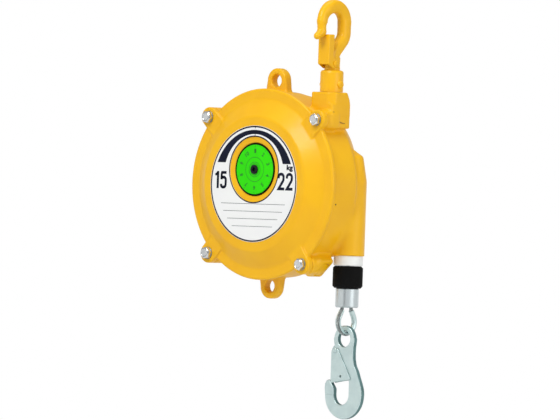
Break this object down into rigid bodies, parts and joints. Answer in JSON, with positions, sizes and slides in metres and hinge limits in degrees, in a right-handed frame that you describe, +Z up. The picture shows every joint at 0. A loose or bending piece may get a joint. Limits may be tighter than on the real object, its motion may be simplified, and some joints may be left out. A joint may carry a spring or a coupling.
{
  "type": "spring tool balancer",
  "caption": "Spring balancer: hangs from a swivel hook and carries a hand tool on a wire rope that a spring drum winds in; a worm sets the tension.",
  "frame": {"origin": "middle of the top hook's bowl, on the swivel's axis, where the balancer is hung up", "axes": "+Z up along the swivel's axis, -Y out of the front cover with the dial, +X towards the rope's side"},
  "size_m": [0.235, 0.1116, 0.5019],
  "materials": {
    "yellow_casting": "die casting under a glossy golden yellow enamel",
    "yellow_paint": "the same enamel over steel",
    "zinc": "bright zinc plate",
    "label_white": "printed film, plain but for the scale's figures",
    "bronze": "machined bronze",
    "black_plastic": "moulded",
    "white_plastic": "moulded, worn by the rope",
    "steel": "turned",
    "green_plastic": "moulded",
    "black_steel": "black oxide",
    "spring_steel": "blued strip",
    "bearing_steel": "ground",
    "cast_aluminium": "as cast, turned grooves",
    "rope_steel": "galvanised strands",
    "black_rubber": "moulded",
    "hook_steel": "zinc plated forging"
  },
  "bodies": {
    "casing": {"rear_casing": "yellow_casting", "front_cover": "yellow_casting", "cover_bolts": "zinc", "cover_washers": "zinc", "nameplate": "label_white", "front_bush": "bronze", "rear_bush": "bronze", "rear_cap": "black_plastic", "outlet_guide": "white_plastic", "worm_plug": "yellow_paint", "worm_outer_bush": "bronze", "worm_inner_bush": "bronze", "hook_bush": "bronze"},
    "main_shaft": {"main_shaft": "steel", "shaft_keys": "steel", "worm_wheel": "bronze", "tension_dial": "green_plastic", "dial_screw": "black_steel", "retaining_rings": "spring_steel", "shaft_spacers": "steel", "spring_arbor": "steel", "bearing_inner_rings": "bearing_steel"},
    "worm": {"worm": "steel"},
    "drum": {"drum": "cast_aluminium", "drum_cover": "cast_aluminium", "drum_cover_screws": "zinc", "main_spring": "spring_steel", "spring_anchor": "steel", "bearing_outer_rings": "bearing_steel", "bearing_balls": "bearing_steel", "rope_turns": "rope_steel", "rope_anchor": "steel"},
    "rope_end": {"wire_rope": "rope_steel", "rope_stopper": "black_rubber", "ferrule": "zinc", "rope_eye": "rope_steel", "thimble": "zinc"},
    "lower_hook": {"lower_hook": "hook_steel", "latch_rivet": "zinc"},
    "lower_latch": {"lower_latch": "hook_steel"},
    "top_hook": {"top_hook": "yellow_paint", "hook_collar": "yellow_paint", "hook_pin": "yellow_paint", "stem_nut": "zinc", "thrust_washer": "bronze", "nut_cotter": "zinc", "top_latch_pin": "yellow_paint"},
    "top_latch": {"top_latch": "yellow_paint"}
  },
  "joints": [
    {"name": "tension_shaft_turn", "type": "hinge", "parent": "casing", "child": "main_shaft", "pos_m": [-0.08, -0.0018, -0.1793], "axis": [0, 1, 0], "range_deg": [0, 1440]},
    {"name": "worm_turn", "type": "hinge", "parent": "casing", "child": "worm", "pos_m": [-0.09828, -0.0018, -0.19635], "axis": [0.682, 0, -0.7314], "range_deg": [0, 34560]},
    {"name": "drum_spin", "type": "hinge", "parent": "casing", "child": "drum", "pos_m": [-0.08, 0.0292, -0.1793], "axis": [0, 1, 0], "range_deg": [0, 1030], "stiffness_Nm_per_rad": 0.225, "springref_deg": -3071.05, "deforming": ["main_spring"]},
    {"name": "rope_travel", "type": "slide", "parent": "casing", "child": "rope_end", "axis": [0, 0, -1], "range_m": [0, 1.5], "deforming": ["wire_rope"]},
    {"name": "lower_hook_swing", "type": "hinge", "parent": "rope_end", "child": "lower_hook", "pos_m": [0.009, 0.0307, -0.37844], "axis": [0, 1, 0], "range_deg": [-45, 45]},
    {"name": "lower_latch_open", "type": "hinge", "parent": "lower_hook", "child": "lower_latch", "pos_m": [-0.0037, 0.0307, -0.39264], "axis": [0, -1, 0], "range_deg": [0, 28], "stiffness_Nm_per_rad": 0.08, "springref_deg": -34.38},
    {"name": "top_hook_swivel", "type": "hinge", "parent": "casing", "child": "top_hook", "pos_m": [0, 0, -0.1], "axis": [0, 0, 1], "continuous": true},
    {"name": "top_latch_open", "type": "hinge", "parent": "top_hook", "child": "top_latch", "pos_m": [0, -0.0045, -0.0495], "axis": [-1, 0, 0], "range_deg": [0, 28], "stiffness_Nm_per_rad": 0.08, "springref_deg": -34.38}
  ],
  "couplings": [
    {"joint": "worm_turn", "follows": "tension_shaft_turn", "ratio": 24},
    {"joint": "rope_travel", "follows": "drum_spin", "m_per_rad": 0.0834}
  ]
}
